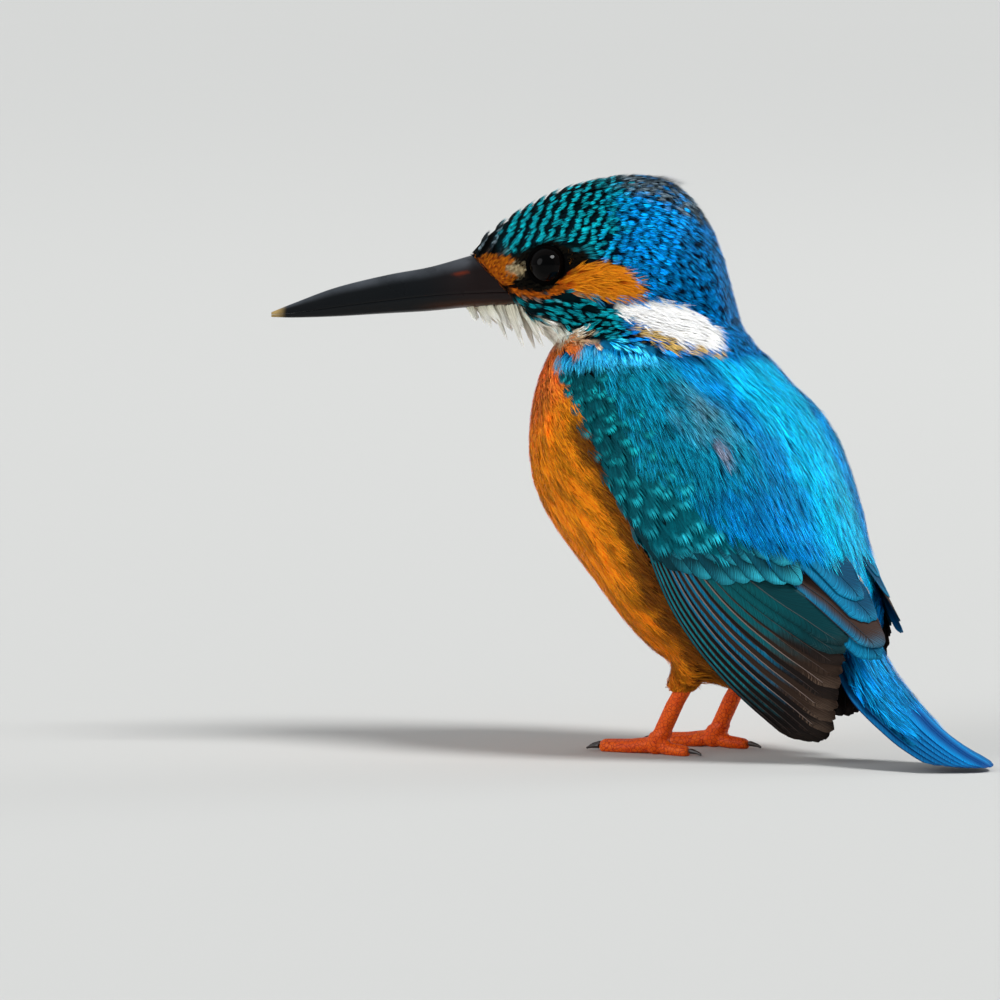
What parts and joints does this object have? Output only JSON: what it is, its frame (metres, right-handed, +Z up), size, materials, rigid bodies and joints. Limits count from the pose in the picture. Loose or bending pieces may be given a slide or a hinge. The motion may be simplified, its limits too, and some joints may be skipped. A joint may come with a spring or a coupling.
{
  "type": "kingfisher",
  "caption": "Life-size still model of a common kingfisher standing on both feet and its tail, head turned to its left.",
  "frame": {"origin": "on the floor, under the middle of the bird's bounding box", "axes": "+Z up, the body faces -X, the bird's left side is towards -Y, and its tail runs towards +X"},
  "size_m": [0.1192, 0.0626, 0.0959],
  "materials": {
    "crown": "small spangled feathers",
    "neck": "soft white feathers",
    "mantle": "silky azure feathers",
    "coverts": "dark teal feathers with cyan tips",
    "secondaries": "smooth blue-green flight feathers",
    "primaries": "dark brown flight feathers",
    "tail": "smooth deep blue tail feathers",
    "breast": "soft orange feathers",
    "legs": "scaly skin",
    "claws": "horn",
    "bill": "polished horn",
    "eyes": "wet and glossy"
  },
  "bodies": {
    "root": {"head": "crown", "neck": "neck", "trunk": "mantle", "bill_upper": "bill", "bill_lower": "bill", "tail": "tail", "eye_left": "eyes", "wing_coverts_left": "coverts", "wing_secondaries_left": "secondaries", "wing_primaries_left": "primaries", "thigh_left": "breast", "tarsus_left": "legs", "foot_left": "legs", "claw_inner_left": "claws", "claw_middle_left": "claws", "claw_outer_left": "claws", "claw_hind_left": "claws", "eye_right": "eyes", "wing_coverts_right": "coverts", "wing_secondaries_right": "secondaries", "wing_primaries_right": "primaries", "thigh_right": "breast", "tarsus_right": "legs", "foot_right": "legs", "claw_inner_right": "claws", "claw_middle_right": "claws", "claw_outer_right": "claws", "claw_hind_right": "claws"}
  },
  "joints": []
}
